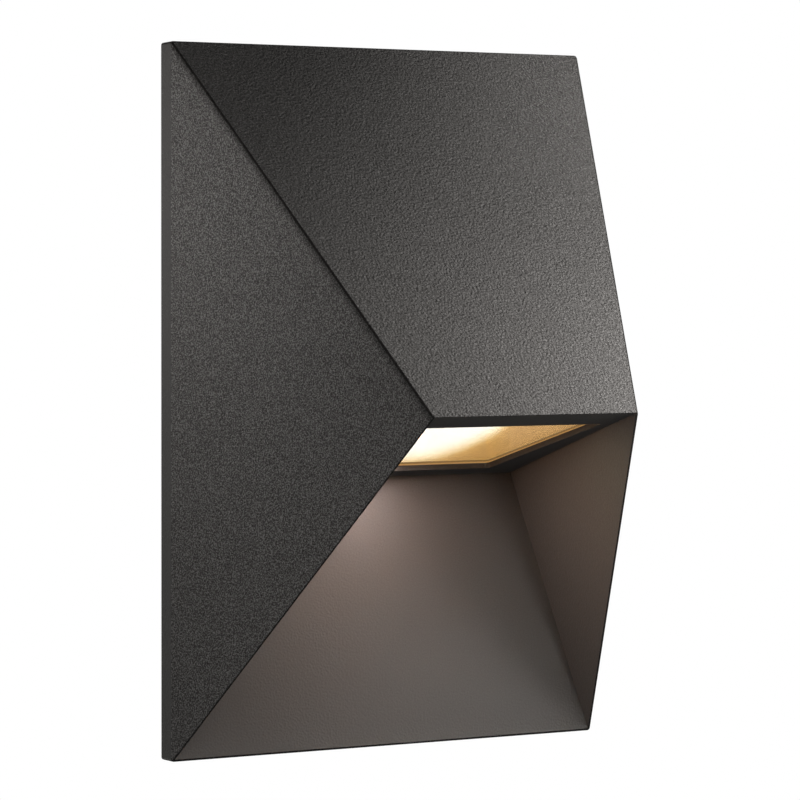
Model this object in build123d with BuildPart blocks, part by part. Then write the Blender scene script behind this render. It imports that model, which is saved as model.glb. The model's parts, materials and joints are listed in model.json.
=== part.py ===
from build123d import *
import os
from math import atan2, degrees, hypot, radians, tan

# Outdoor wall light: a faceted die-cast body that hangs on a pressed steel wall plate and
# throws its light down through a pane in the ceiling of an open recess.
# The wall is the plane y = 0, the light stands out towards -y, and +z is up.
# The origin is the middle of the wall slots, half way up the body. Sizes are in millimetres.

# Faceted body
height = 222.0
top_width = 147.4
bottom_width = 152.6
depth = 100.0
edge_depth = 7.0
ridge_width = 71.0
ridge_rise = 107.0
edge_round = 0.9
wall = 2.5
bottom_wall = 4.0

# Light recess under the ridge
back_step = 0.6
ceiling_rise = 86.0
ceiling_width = 92.4
edge_land = 0.7

# Window in the recess ceiling
opening_side = 2.5
opening_front = 16.8
opening_back = 8.9
opening_corner = 1.5
lip = 1.7
pane_lap = 3.5
pane_thickness = 4.0
seal_thickness = 0.3
seal_edge = 0.5
seal_setback = 1.0
seat_wall = 2.5
fit = 0.1

# Light engine above the pane
flange_thickness = 2.0
reflector_height = 13.5
reflector_wall = 1.5
reflector_setback = 0.5
reflector_draft = 10.0
board_thickness = 1.6
board_margin = 0.5
pad_thickness = 0.5
pad_margin = 2.0
chip_length = 3.5
chip_width = 2.8
chip_height = 0.7
chip_pitch = 17.0
chip_rows = 3
carrier_thickness = 2.0
carrier_bend = 1.0
carrier_gap = 1.0
carrier_rear = 32.0
hat_length = 44.0
tongue_length = 16.0
notch_width = 16.0
notch_depth = 10.0
stack_pitch = 35.0
stack_shift = 9.5
boss_radius = 3.5
ear_radius = 4.5
board_screw_reach = 25.0

# Small screws
screw_radius = 1.5
screw_head_radius = 2.8
screw_head_height = 2.0
hole_skin = 1.2

# Supply and terminals on the inside of the sloping top face
gear_boss = 3.0
engine_clearance = 3.0
driver_length = 62.0
driver_width = 36.0
driver_height = 18.5
driver_ear = 9.0
driver_ear_thickness = 3.0
driver_corner = 3.0
lid_thickness = 1.5
lid_margin = 1.2
pole_pitch = 10.0
poles = 3
terminal_width = 18.0
terminal_height = 15.0
terminal_step = 4.0
clamp_radius = 2.0
clamp_row = 10.0
clamp_well = 3.0
turret_wall = 1.2
terminal_head_radius = 2.0
entry_radius = 1.6
entry_depth = 6.0
entry_height = 5.0
earth_reach = 36.0
earth_rise = 6.0
earth_screw_radius = 2.0
earth_head_radius = 3.6
earth_head_height = 2.6
tag_thickness = 0.8
tag_radius = 5.0
barrel_radius = 1.7
barrel_length = 6.0

# Wall plate
sheet = 1.5
gasket_thickness = 1.5
gasket_edge = 0.3
plate_gap = 0.3
plate_corner = 3.0
band_width = 12.0
slot_spacing = 60.0
slot_length = 12.0
slot_width = 5.2
hole_spacing = 60.0
hole_rise = 80.0
hole_radius = 2.6
dish_radius = 13.0
dish_depth = 2.0
plate_earth_reach = 45.0
plate_earth_rise = 45.0
collar_wall = 1.3
collar_height = 2.0
washer_radius = 4.2
washer_thickness = 0.8
shank_setback = 0.3

# Cable grommet
cable_radius = 4.0
groove_radius = 8.0
grommet_lap = 2.8
grommet_lip = 1.5
neck_radius = 6.0
neck_length = 4.0
grommet_setback = 0.4

# Set screws in the lower edge
set_radius = 1.5
set_reach = 45.0
set_recess = 0.4
set_socket = 0.85
set_socket_depth = 2.0
tip_gap = 0.1

# Inner leads
lead_radius = 1.0
lead_clearance = 0.1
lead_bend = 4.0
lead_in = 3.0
lead_first = 2.0
lead_spread = 6.0
lead_pitch = 4.0
lead_turn = 5.0
lead_room = 3.0
column_gap = 6.0
led_rise = 14.0
led_rise_step = 8.0
led_sweep = 2.0
led_climb = 4.0
solder_reach = 3.5
solder_radius = 2.0
solder_height = 1.2

# Levels and reference points worked out from the sizes
half_height = height / 2
edge_y = -edge_depth
ridge_z = ridge_rise - half_height
back_y = -(edge_depth + back_step)
ceiling_back_z = ceiling_rise - half_height
reach = 2 * (height + depth + bottom_width)
ceiling_tilt = degrees(atan2(ridge_z - ceiling_back_z, back_y + depth))
ceiling_length = hypot(ridge_z - ceiling_back_z, back_y + depth)
opening_width = ridge_width - 2 * opening_side
opening_length = ceiling_length - opening_front - opening_back


def plane_through(first, second, third):
    """Plane on three points, its normal by the right hand from the first to the third."""
    start = Vector(*first)
    along = Vector(*second) - start
    across = Vector(*third) - start
    return Plane(origin=start, x_dir=along, z_dir=along.cross(across))


# Faces of the right half, with normals that point out of the body
top_corner = (top_width / 2, edge_y, half_height)
bottom_corner = (bottom_width / 2, edge_y, -half_height)
ridge_end = (ridge_width / 2, -depth, ridge_z)
roof = plane_through((0, edge_y, half_height), (0, -depth, ridge_z), ridge_end)
side_face = plane_through(bottom_corner, top_corner, ridge_end)
edge_side = plane_through(bottom_corner, (bottom_width / 2, 0, -half_height), top_corner)
mouth = plane_through((0, -depth, ridge_z), (0, edge_y, -half_height), ridge_end)

# Faces of the recess, with normals that point out of its room
recess_ridge = (ridge_width / 2 - edge_land, -depth, ridge_z)
recess_bottom = (bottom_width / 2 - edge_land, edge_y, -half_height)
recess_top = (ceiling_width / 2, back_y, ceiling_back_z)
recess_side = plane_through(recess_bottom, recess_top, recess_ridge)

# Working planes: on the recess ceiling at the window's middle, and inside the top face
ceiling_front = Plane(
    origin=(0, -depth, ridge_z), x_dir=(1, 0, 0), z_dir=(0, 0, 1)
).rotated((-ceiling_tilt, 0, 0))
ceiling = Plane(
    origin=ceiling_front.from_local_coords((0, opening_front + opening_length / 2, 0)),
    x_dir=(1, 0, 0),
    z_dir=ceiling_front.z_dir,
)
roof_inside = Plane(
    origin=(0, edge_y, half_height), x_dir=(1, 0, 0), z_dir=-roof.z_dir
).offset(wall)

# Heights of the light engine above the ceiling's underside, from the lip up
seat_top = lip + 2 * seal_thickness + pane_thickness
flange_top = seat_top + flange_thickness
foot_top = flange_top + carrier_thickness
reflector_top = seat_top + reflector_height
board_top = reflector_top + board_thickness
pad_top = board_top + pad_thickness
carrier_top = pad_top + carrier_thickness

# Widths and lengths of the pieces that nest round the window
pane_width = opening_width + 2 * pane_lap
pane_length = opening_length + 2 * pane_lap
seal_grow = 2 * seal_edge
pocket_grow = 2 * (seal_edge + fit)
seat_grow = pocket_grow + 2 * seat_wall
chamber_width = opening_width + 2 * reflector_setback
chamber_length = opening_length + 2 * reflector_setback
shade_width = chamber_width + 2 * reflector_wall
shade_length = chamber_length + 2 * reflector_wall
taper = 2 * reflector_height * tan(radians(reflector_draft))
board_width = shade_width - taper - 2 * board_margin
board_length = shade_length - taper - 2 * board_margin
leg_reach = shade_width / 2 + carrier_gap
stack_reach = (pane_width + seat_grow) / 2 + boss_radius - fit
stack_places = [
    (side * stack_reach, stack_shift + row * stack_pitch / 2) for side in (-1, 1) for row in (-1, 1)
]
board_screw_places = [(-board_screw_reach, 0), (board_screw_reach, 0)]
hole_fit = screw_radius + fit / 2

# Places on the inside of the top face: across, and down the slope from the upper wall edge.
# The driver ends just clear of the light engine, then come the lead loops and the terminals.
gear_seat = roof_inside.offset(gear_boss)
driver_inner = gear_seat.from_local_coords((0, 0, driver_height + lid_thickness))
driver_rise = ceiling.to_local_coords(driver_inner).Z - carrier_top - engine_clearance
driver_end_slope = -driver_rise / gear_seat.y_dir.dot(ceiling.z_dir)
driver_slope = driver_end_slope - driver_width / 2
loop_room = lead_turn + lead_pitch + lead_radius + lead_room
terminal_slope = driver_slope - (driver_width + terminal_width) / 2 - loop_room
earth_slope = terminal_slope - earth_rise
driver_screw_reach = (driver_length + driver_ear) / 2
driver_screw_places = [(-driver_screw_reach, driver_slope), (driver_screw_reach, driver_slope)]
terminal_screw_places = [(-pole_pitch / 2, terminal_slope), (pole_pitch / 2, terminal_slope)]
earth_place = (earth_reach, earth_slope)
earth_hole = earth_screw_radius + fit / 2

# Front of the wall plate's flange, just behind the recess wall, and the set screws' places
flange_front = edge_depth + back_step - wall - plate_gap
set_y = -(gasket_thickness + flange_front) / 2
set_places = [(-set_reach, set_y), (set_reach, set_y)]


def faceted_block(inset):
    """The faceted form with its outer faces moved in by inset, run on past the wall and the mouth."""
    with BuildPart() as block:
        Box(reach, reach, height - 2 * inset, align=(Align.MIN, Align.CENTER, Align.CENTER))
        split(bisect_by=roof.offset(-inset), keep=Keep.BOTTOM)
        split(bisect_by=side_face.offset(-inset), keep=Keep.BOTTOM)
        split(bisect_by=edge_side.offset(-inset), keep=Keep.BOTTOM)
        split(bisect_by=mouth.offset(edge_depth), keep=Keep.BOTTOM)
        mirror(about=Plane.YZ)
    return block


def recess_block(grow):
    """The room under the ceiling, between the splayed side walls, with its faces moved out by grow."""
    with BuildPart() as block:
        with Locations((0, back_y + grow, 0)):
            Box(reach, reach, reach, align=(Align.MIN, Align.MAX, Align.CENTER))
        split(bisect_by=ceiling.offset(grow), keep=Keep.BOTTOM)
        split(bisect_by=recess_side.offset(grow), keep=Keep.BOTTOM)
        mirror(about=Plane.YZ)
    return block


def pan_screws(seat, places, radius, length, head_radius, head_height):
    """Pan head screws whose heads stand on the plane seat and whose shanks run the other way."""
    with BuildPart() as screws:
        with BuildSketch(seat):
            with Locations(*places):
                Circle(head_radius)
        extrude(amount=head_height)
        crowns = screws.edges().group_by(Axis(seat.origin, seat.z_dir))[-1]
        fillet(crowns, head_height / 2)
        with BuildSketch(seat):
            with Locations(*places):
                Circle(radius)
        extrude(amount=-length)
    return screws


def rim_outline(inset):
    """Outline of the body's back edge moved in by inset, with a deeper step at the thick lower edge."""
    low = half_height - inset - (bottom_wall - wall)
    high = half_height - inset
    return Polygon(
        (inset - top_width / 2, high),
        (top_width / 2 - inset, high),
        (bottom_width / 2 - inset, -low),
        (inset - bottom_width / 2, -low),
        align=None,
    )


# Housing: outer form with rounded edges, cut off at the wall and at the crisp mouth of the recess
inset_block = faceted_block(edge_round)
inner_block = faceted_block(wall)
recess = recess_block(0)
recess_backing = recess_block(wall)
with BuildPart() as outer:
    add(inset_block.part)
    offset(amount=edge_round)
    split(bisect_by=Plane.XZ, keep=Keep.TOP)
    split(bisect_by=mouth, keep=Keep.BOTTOM)

with BuildPart() as cavity:
    add(inner_block.part)
    split(bisect_by=Plane.XY.offset(bottom_wall - half_height), keep=Keep.TOP)
    add(recess_backing.part, mode=Mode.SUBTRACT)

# Housing: upstand round the pane and the bosses for screws, kept inside the outer form
with BuildPart() as bosses:
    with BuildSketch(ceiling.offset(lip)):
        RectangleRounded(pane_width + seat_grow, pane_length + seat_grow, seat_wall)
        with Locations(*stack_places):
            Circle(boss_radius)
    extrude(amount=seat_top - lip)
    with BuildSketch(gear_seat):
        with Locations(*driver_screw_places, *terminal_screw_places):
            Circle(boss_radius)
        with Locations(earth_place):
            Circle(tag_radius)
    extrude(amount=-gear_boss - wall / 2)
    add(outer.part, mode=Mode.INTERSECT)

with BuildPart() as housing:
    add(outer.part)
    add(recess.part, mode=Mode.SUBTRACT)
    add(cavity.part, mode=Mode.SUBTRACT)
    add(bosses.part)
    with BuildSketch(ceiling):
        RectangleRounded(opening_width, opening_length, opening_corner)
    extrude(amount=lip, mode=Mode.SUBTRACT)
    with BuildSketch(ceiling.offset(lip)):
        RectangleRounded(pane_width + pocket_grow, pane_length + pocket_grow, opening_corner)
    extrude(amount=seat_top - lip, mode=Mode.SUBTRACT)
    with BuildSketch(ceiling.offset(seat_top)):
        with Locations(*stack_places):
            Circle(hole_fit)
    extrude(amount=hole_skin - seat_top, mode=Mode.SUBTRACT)
    with BuildSketch(gear_seat):
        with Locations(*driver_screw_places, *terminal_screw_places):
            Circle(hole_fit)
        with Locations(earth_place):
            Circle(earth_hole)
    extrude(amount=hole_skin - gear_boss - wall, mode=Mode.SUBTRACT)
    with BuildSketch(Plane.XY.offset(-half_height)):
        with Locations(*set_places):
            Circle(set_radius + fit / 2)
    extrude(amount=bottom_wall, mode=Mode.SUBTRACT)

# Set screws in the housing's lower edge, with hex sockets, that press on the plate's lower flange
set_length = bottom_wall + plate_gap - tip_gap - set_recess
with BuildPart() as fixing_screws:
    with BuildSketch(Plane.XY.offset(set_recess - half_height)):
        with Locations(*set_places):
            Circle(set_radius)
    extrude(amount=set_length)
    with BuildSketch(Plane.XY.offset(set_recess - half_height)):
        with Locations(*set_places):
            RegularPolygon(set_socket, side_count=6)
    extrude(amount=set_socket_depth, mode=Mode.SUBTRACT)

# Wall plate: stepped edge band with a forward flange, and a middle pad that bears on the wall
plate_inset = wall + plate_gap
pad_inset = plate_inset + band_width
plate_earth_place = (plate_earth_reach, plate_earth_rise)
with BuildPart() as wall_plate:
    with BuildSketch(Plane.XZ.offset(gasket_thickness)) as band:
        rim_outline(plate_inset)
        fillet(band.vertices(), plate_corner)
    extrude(amount=flange_front - gasket_thickness)
    with BuildSketch(Plane.XZ.offset(gasket_thickness + sheet)) as band_inside:
        rim_outline(plate_inset + sheet)
        fillet(band_inside.vertices(), plate_corner - sheet)
    extrude(amount=flange_front - gasket_thickness - sheet, mode=Mode.SUBTRACT)
    with BuildSketch(Plane.XZ) as pad:
        rim_outline(pad_inset)
        fillet(pad.vertices(), plate_corner)
    extrude(amount=gasket_thickness + sheet)
    with BuildSketch(Plane.XZ.offset(sheet)) as pad_inside:
        rim_outline(pad_inset + sheet)
        fillet(pad_inside.vertices(), plate_corner - sheet)
    extrude(amount=gasket_thickness, mode=Mode.SUBTRACT)
    with BuildSketch(Plane.XZ):
        Circle(dish_radius + sheet)
    extrude(amount=dish_depth + sheet)
    with BuildSketch(Plane.XZ):
        Circle(dish_radius)
    extrude(amount=dish_depth, mode=Mode.SUBTRACT)
    with BuildSketch(Plane.XZ.offset(sheet)):
        with Locations(plate_earth_place):
            Circle(earth_hole + collar_wall)
    extrude(amount=collar_height)
    with BuildSketch(Plane.XZ):
        Circle(groove_radius + fit)
        with Locations(plate_earth_place):
            Circle(earth_hole)
        with GridLocations(slot_spacing, 0, 2, 1):
            SlotOverall(slot_length, slot_width)
        with Locations((0, hole_rise)):
            with GridLocations(hole_spacing, 0, 2, 1):
                Circle(hole_radius)
    extrude(amount=depth, mode=Mode.SUBTRACT)

# Foam gasket in the step of the edge band, flush with the pad at the wall
with BuildPart() as wall_gasket:
    with BuildSketch(Plane.XZ) as foam:
        rim_outline(plate_inset + gasket_edge)
        fillet(foam.vertices(), plate_corner)
    extrude(amount=gasket_thickness)
    with BuildSketch(Plane.XZ) as foam_hole:
        rim_outline(pad_inset - gasket_edge)
        fillet(foam_hole.vertices(), plate_corner)
    extrude(amount=gasket_thickness, mode=Mode.SUBTRACT)

# Rubber grommet snapped into the dish: the only way in for a mains cable
grommet_radius = groove_radius + grommet_lap
dish_front = dish_depth + sheet
with BuildPart() as cable_grommet:
    with BuildSketch(Plane.XY):
        with BuildLine():
            Polyline(
                (cable_radius, -grommet_setback),
                (grommet_radius, -grommet_setback),
                (grommet_radius, -dish_depth),
                (groove_radius, -dish_depth),
                (groove_radius, -dish_front),
                (grommet_radius, -dish_front),
                (grommet_radius - grommet_lip, -dish_front - grommet_lip),
                (neck_radius, -dish_front - grommet_lip),
                (cable_radius + fit, -dish_front - grommet_lip - neck_length),
                (cable_radius, -dish_front - grommet_lip - neck_length),
                close=True,
            )
        make_face()
    revolve(axis=Axis.Y)

# Earth terminal of the wall plate: a screw and a cup washer on a drawn collar
collar_front = sheet + collar_height
with BuildPart() as plate_earth_washer:
    with BuildSketch(Plane.XZ.offset(collar_front)):
        with Locations(plate_earth_place):
            Circle(washer_radius)
            Circle(earth_hole, mode=Mode.SUBTRACT)
    extrude(amount=washer_thickness)
plate_earth_screw = pan_screws(
    Plane.XZ.offset(collar_front + washer_thickness),
    [plate_earth_place],
    earth_screw_radius,
    collar_front + washer_thickness - shank_setback,
    earth_head_radius,
    earth_head_height,
)

# Pane of toughened glass in a silicone channel, laid on the lip from inside
pane_base = lip + seal_thickness
with BuildPart() as glass_pane:
    with BuildSketch(ceiling.offset(pane_base)):
        RectangleRounded(pane_width, pane_length, opening_corner)
    extrude(amount=pane_thickness)

with BuildPart() as pane_seal:
    with BuildSketch(ceiling.offset(lip)):
        RectangleRounded(pane_width + seal_grow, pane_length + seal_grow, opening_corner)
        RectangleRounded(
            opening_width + 2 * seal_setback,
            opening_length + 2 * seal_setback,
            opening_corner,
            mode=Mode.SUBTRACT,
        )
    extrude(amount=seat_top - lip)
    add(glass_pane.part, mode=Mode.SUBTRACT)

# Reflector: a drafted four-sided chamber whose flange and ears clamp the pane
with BuildPart() as reflector:
    with BuildSketch(ceiling.offset(seat_top)):
        RectangleRounded(pane_width, pane_length, opening_corner)
        with Locations((0, stack_shift - stack_pitch / 2), (0, stack_shift + stack_pitch / 2)):
            SlotOverall(2 * (stack_reach + ear_radius), 2 * ear_radius)
    extrude(amount=flange_thickness)
    with BuildSketch(ceiling.offset(seat_top)):
        RectangleRounded(shade_width, shade_length, opening_corner + reflector_wall)
    with BuildSketch(ceiling.offset(reflector_top)):
        RectangleRounded(shade_width - taper, shade_length - taper, opening_corner + reflector_wall)
    loft()
    with BuildSketch(ceiling.offset(seat_top)):
        RectangleRounded(chamber_width, chamber_length, opening_corner)
    with BuildSketch(ceiling.offset(reflector_top)):
        RectangleRounded(chamber_width - taper, chamber_length - taper, opening_corner)
    loft(mode=Mode.SUBTRACT)
    with BuildSketch(ceiling.offset(seat_top)):
        with Locations(*stack_places):
            Circle(hole_fit)
    extrude(amount=flange_thickness, mode=Mode.SUBTRACT)

# LED board on the reflector's rim, with a grid of LED packages that face the pane
with BuildPart() as led_board:
    with BuildSketch(ceiling.offset(reflector_top)):
        RectangleRounded(board_width, board_length, opening_corner)
        with Locations(*board_screw_places):
            Circle(hole_fit, mode=Mode.SUBTRACT)
    extrude(amount=board_thickness)

with BuildPart() as led_chips:
    with BuildSketch(ceiling.offset(reflector_top)):
        with GridLocations(chip_pitch, chip_pitch, chip_rows, chip_rows):
            Rectangle(chip_length, chip_width)
    extrude(amount=-chip_height)

# Thermal pad and carrier: a folded aluminium hat that takes the heat down to the casting
notch_middle = carrier_rear - notch_depth / 2
with BuildPart() as thermal_pad:
    with BuildSketch(ceiling.offset(board_top)):
        RectangleRounded(board_width - 2 * pad_margin, board_length - 2 * pad_margin, opening_corner)
        with Locations(*board_screw_places):
            Circle(hole_fit, mode=Mode.SUBTRACT)
        with Locations((0, carrier_rear - notch_depth)):
            Rectangle(
                notch_width, board_length, align=(Align.CENTER, Align.MIN), mode=Mode.SUBTRACT
            )
    extrude(amount=pad_thickness)

foot_reach = stack_reach + ear_radius
foot_bend = carrier_bend + carrier_thickness
hat_profile = Plane(
    origin=ceiling.from_local_coords((0, carrier_rear, 0)), x_dir=(1, 0, 0), z_dir=-ceiling.y_dir
)
with BuildPart() as led_carrier:
    with BuildSketch(hat_profile):
        with BuildLine():
            fold = FilletPolyline(
                (-foot_reach, flange_top),
                (-leg_reach, flange_top),
                (-leg_reach, pad_top),
                (leg_reach, pad_top),
                (leg_reach, flange_top),
                (foot_reach, flange_top),
                radius=[foot_bend, carrier_bend, carrier_bend, foot_bend],
            )
            offset(fold, amount=carrier_thickness, side=Side.LEFT)
        make_face()
    extrude(amount=hat_length)
    with BuildSketch(ceiling.offset(pad_top)):
        with Locations((0, carrier_rear - hat_length)):
            Rectangle(board_width, tongue_length, align=(Align.CENTER, Align.MAX))
    extrude(amount=carrier_thickness)
    with BuildSketch(ceiling.offset(flange_top)):
        with Locations(*stack_places, *board_screw_places):
            Circle(hole_fit)
        with Locations((0, notch_middle)):
            Rectangle(notch_width, notch_depth)
    extrude(amount=carrier_top - flange_top, mode=Mode.SUBTRACT)

stack_screws = pan_screws(
    ceiling.offset(foot_top),
    stack_places,
    screw_radius,
    foot_top - hole_skin - fit,
    screw_head_radius,
    screw_head_height,
)
board_screws = pan_screws(
    Plane(origin=ceiling.offset(reflector_top).origin, x_dir=(1, 0, 0), z_dir=-ceiling.z_dir),
    board_screw_places,
    screw_radius,
    carrier_top - reflector_top,
    screw_head_radius,
    screw_head_height,
)

# Driver: a closed plastic case with ears, a lid, and lead holes in both ends
lead_hole = lead_radius + lead_clearance
lead_height = driver_height / 2
near_row = lead_first
far_row = lead_first + lead_spread
mains_rows = [driver_slope - far_row, driver_slope - near_row]
led_rows = [driver_slope + near_row, driver_slope + far_row]
ear_width = 2 * ear_radius + driver_ear
with BuildPart() as driver_case:
    with BuildSketch(gear_seat):
        with Locations((0, driver_slope)):
            RectangleRounded(driver_length + 2 * driver_ear, ear_width, ear_radius)
    extrude(amount=driver_ear_thickness)
    with BuildSketch(gear_seat):
        with Locations((0, driver_slope)):
            RectangleRounded(driver_length, driver_width, driver_corner)
    extrude(amount=driver_height)
    with BuildSketch(gear_seat):
        with Locations(*driver_screw_places):
            Circle(hole_fit)
    extrude(amount=driver_ear_thickness, mode=Mode.SUBTRACT)
    for side, rows in ((-1, mains_rows), (1, led_rows)):
        end_face = Plane(
            origin=gear_seat.from_local_coords((side * driver_length / 2, 0, lead_height)),
            x_dir=gear_seat.y_dir,
            z_dir=(side, 0, 0),
        )
        with BuildSketch(end_face):
            with Locations(*[(row, 0) for row in rows]):
                Circle(lead_hole)
        extrude(amount=-lead_in, mode=Mode.SUBTRACT)

with BuildPart() as driver_lid:
    with BuildSketch(gear_seat.offset(driver_height)):
        with Locations((0, driver_slope)):
            RectangleRounded(driver_length - lid_margin, driver_width - lid_margin, driver_corner)
    extrude(amount=lid_thickness)
    rim = driver_lid.edges().group_by(Axis(gear_seat.origin, gear_seat.z_dir))[-1]
    chamfer(rim, lid_thickness / 2)
driver_screws = pan_screws(
    gear_seat.offset(driver_ear_thickness),
    driver_screw_places,
    screw_radius,
    driver_ear_thickness + gear_boss + wall - hole_skin - fit,
    screw_head_radius,
    screw_head_height,
)

# Terminal block: a base with a turret over each clamp screw and a wire entry under it
turret_radius = clamp_radius + fit + turret_wall
turret_base = terminal_height - terminal_step
with BuildPart() as terminal_block:
    with BuildSketch(gear_seat):
        with Locations((0, terminal_slope)):
            Rectangle(poles * pole_pitch + terminal_step / 2, terminal_width)
    extrude(amount=turret_base)
    with BuildSketch(gear_seat.offset(turret_base)):
        with Locations((0, terminal_slope)):
            with GridLocations(pole_pitch, clamp_row, poles, 2):
                Circle(turret_radius)
    extrude(amount=terminal_step)
    with BuildSketch(gear_seat.offset(terminal_height)):
        with Locations((0, terminal_slope)):
            with GridLocations(pole_pitch, clamp_row, poles, 2):
                Circle(clamp_radius + fit)
    extrude(amount=-clamp_well, mode=Mode.SUBTRACT)
    with BuildSketch(gear_seat):
        with Locations(*terminal_screw_places):
            Circle(hole_fit)
    extrude(amount=turret_base, mode=Mode.SUBTRACT)
    for side in (-1, 1):
        entry_face = Plane(
            origin=gear_seat.from_local_coords(
                (0, terminal_slope + side * terminal_width / 2, entry_height)
            ),
            x_dir=(1, 0, 0),
            z_dir=side * gear_seat.y_dir,
        )
        with BuildSketch(entry_face):
            with GridLocations(pole_pitch, 0, poles, 1):
                Circle(entry_radius)
        extrude(amount=-entry_depth, mode=Mode.SUBTRACT)

slot_cut = clamp_radius / 2
with BuildPart() as terminal_screws:
    with BuildSketch(gear_seat.offset(terminal_height - clamp_well)):
        with Locations((0, terminal_slope)):
            with GridLocations(pole_pitch, clamp_row, poles, 2):
                Circle(clamp_radius)
    extrude(amount=clamp_well - slot_cut)
    with BuildSketch(gear_seat.offset(terminal_height - slot_cut)):
        with Locations((0, terminal_slope)):
            with GridLocations(pole_pitch, clamp_row, poles, 2):
                Rectangle(2 * clamp_radius, slot_cut / 2)
    extrude(amount=-slot_cut, mode=Mode.SUBTRACT)
terminal_fixing_screws = pan_screws(
    gear_seat.offset(turret_base),
    terminal_screw_places,
    screw_radius,
    turret_base + gear_boss + wall - hole_skin - fit,
    terminal_head_radius,
    screw_head_height,
)

# Earth point of the casting: a ring tag with a crimp barrel under a screw
barrel_axis = tag_thickness + barrel_radius
barrel_start = earth_slope + tag_radius
with BuildPart() as earth_tag:
    with BuildSketch(gear_seat):
        with Locations(earth_place):
            Circle(tag_radius)
            Rectangle(
                2 * barrel_radius, tag_radius + barrel_length, align=(Align.CENTER, Align.MIN)
            )
            Circle(earth_hole, mode=Mode.SUBTRACT)
    extrude(amount=tag_thickness)
    barrel_face = Plane(
        origin=gear_seat.from_local_coords((earth_reach, barrel_start, barrel_axis)),
        x_dir=(1, 0, 0),
        z_dir=gear_seat.y_dir,
    )
    with BuildSketch(barrel_face):
        Circle(barrel_radius)
        Rectangle(2 * barrel_radius, barrel_radius, align=(Align.CENTER, Align.MIN))
    extrude(amount=barrel_length)
    with BuildSketch(barrel_face):
        Circle(lead_hole)
    extrude(amount=barrel_length, mode=Mode.SUBTRACT)
earth_screw = pan_screws(
    gear_seat.offset(tag_thickness),
    [earth_place],
    earth_screw_radius,
    tag_thickness + gear_boss + wall - hole_skin - fit,
    earth_head_radius,
    earth_head_height,
)


def lead(points):
    """Insulated lead on straight runs joined by tangent bends."""
    with BuildPart() as wire:
        with BuildLine() as route:
            FilletPolyline(*points, radius=lead_bend)
        with BuildSketch(Plane(origin=route.line @ 0, z_dir=route.line % 0)):
            Circle(lead_radius)
        sweep()
    return wire


# Leads from the driver's left end to the terminal block, one loop inside the other
driver_end = driver_length / 2 - lead_in
entry_stop = terminal_slope + terminal_width / 2 - entry_depth
outer_row = terminal_slope + terminal_width / 2 + lead_turn
inner_row = outer_row + lead_pitch
outer_column = driver_length / 2 + driver_ear + column_gap
inner_column = outer_column - lead_pitch
live_lead = lead(
    [
        gear_seat.from_local_coords(place)
        for place in (
            (-driver_end, mains_rows[1], lead_height),
            (-outer_column, mains_rows[1], lead_height),
            (-outer_column, outer_row, entry_height),
            (-pole_pitch, outer_row, entry_height),
            (-pole_pitch, entry_stop, entry_height),
        )
    ]
)
neutral_lead = lead(
    [
        gear_seat.from_local_coords(place)
        for place in (
            (-driver_end, mains_rows[0], lead_height),
            (-inner_column, mains_rows[0], lead_height),
            (-inner_column, inner_row, entry_height),
            (0, inner_row, entry_height),
            (0, entry_stop, entry_height),
        )
    ]
)
earth_lead = lead(
    [
        gear_seat.from_local_coords(place)
        for place in (
            (pole_pitch, entry_stop, entry_height),
            (pole_pitch, outer_row, entry_height),
            (earth_reach, outer_row, barrel_axis),
            (earth_reach, barrel_start, barrel_axis),
        )
    ]
)

# Leads from the driver's right end round to the board, soldered in the carrier's notch
solder_places = [(-solder_reach, notch_middle), (solder_reach, notch_middle)]
led_columns = [outer_column, inner_column]
led_levels = [board_top + led_rise + led_rise_step, board_top + led_rise]
led_leads = []
for place, row, column, level in zip(solder_places, led_rows, led_columns, led_levels):
    across, along = place
    led_leads.append(
        lead(
            [
                gear_seat.from_local_coords((driver_end, row, lead_height)),
                gear_seat.from_local_coords((column, row, lead_height)),
                ceiling.from_local_coords((column, along - led_sweep, level + led_climb)),
                ceiling.from_local_coords((across, along, level)),
                ceiling.from_local_coords((across, along, board_top)),
            ]
        )
    )
led_lead_positive, led_lead_negative = led_leads

with BuildPart() as solder_joints:
    for across, along in solder_places:
        base = ceiling.from_local_coords((across, along, board_top))
        with BuildSketch(Plane(origin=base, x_dir=(1, 0, 0), z_dir=-ceiling.y_dir)):
            with BuildLine():
                Polyline(
                    (lead_hole, 0), (solder_radius, 0), (lead_hole, solder_height), close=True
                )
            make_face()
        revolve(axis=Axis(base, ceiling.z_dir))

pieces = {
    "wall_plate": wall_plate,
    "wall_gasket": wall_gasket,
    "cable_grommet": cable_grommet,
    "plate_earth_washer": plate_earth_washer,
    "plate_earth_screw": plate_earth_screw,
    "housing": housing,
    "fixing_screws": fixing_screws,
    "pane_seal": pane_seal,
    "glass_pane": glass_pane,
    "reflector": reflector,
    "led_board": led_board,
    "led_chips": led_chips,
    "solder_joints": solder_joints,
    "thermal_pad": thermal_pad,
    "led_carrier": led_carrier,
    "board_screws": board_screws,
    "stack_screws": stack_screws,
    "driver_case": driver_case,
    "driver_lid": driver_lid,
    "driver_screws": driver_screws,
    "terminal_block": terminal_block,
    "terminal_screws": terminal_screws,
    "terminal_fixing_screws": terminal_fixing_screws,
    "earth_tag": earth_tag,
    "earth_screw": earth_screw,
    "live_lead": live_lead,
    "neutral_lead": neutral_lead,
    "earth_lead": earth_lead,
    "led_lead_positive": led_lead_positive,
    "led_lead_negative": led_lead_negative,
}

os.makedirs("parts", exist_ok=True)
for name, piece in pieces.items():
    piece.part.label = name
    export_step(piece.part, f"parts/{name}.step")
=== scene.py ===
import json
from math import pi, radians

import bpy
from mathutils import Matrix, Vector

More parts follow.
